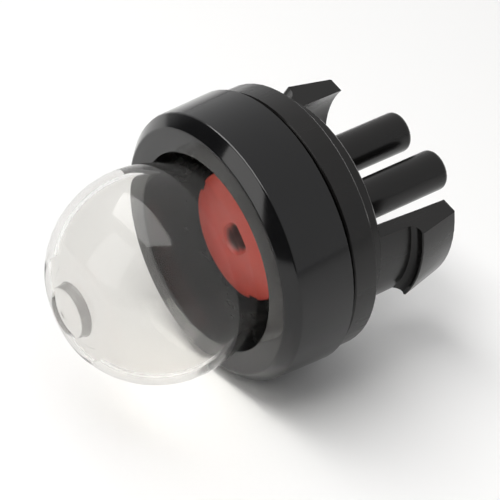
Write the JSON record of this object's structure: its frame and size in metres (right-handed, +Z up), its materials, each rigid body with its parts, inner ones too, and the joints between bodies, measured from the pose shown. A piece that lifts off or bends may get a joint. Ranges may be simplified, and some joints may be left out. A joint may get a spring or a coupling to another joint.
{
  "type": "primer bulb",
  "caption": "Snap-in primer bulb: a clear hollow squeeze bulb in a round black collar, with a red check valve inside, hose nipples and snap hooks behind.",
  "frame": {"origin": "on the axis, in the plane of the flange's rear face that seats on the panel", "axes": "+Y along the axis from the bulb to the hose nipples, +Z up as the part lies on its side, +X to the right seen from behind the bulb"},
  "size_m": [0.025, 0.0386, 0.025],
  "materials": {
    "clear_bulb": "clear, slightly milky soft plastic, glossy",
    "ring_black": "smooth glossy black moulding",
    "valve_red": "satin red rubber",
    "base_black": "satin black moulding"
  },
  "bodies": {
    "root": {"bulb": "clear_bulb", "retaining_ring": "ring_black", "check_valve": "valve_red", "base": "base_black"}
  },
  "joints": []
}
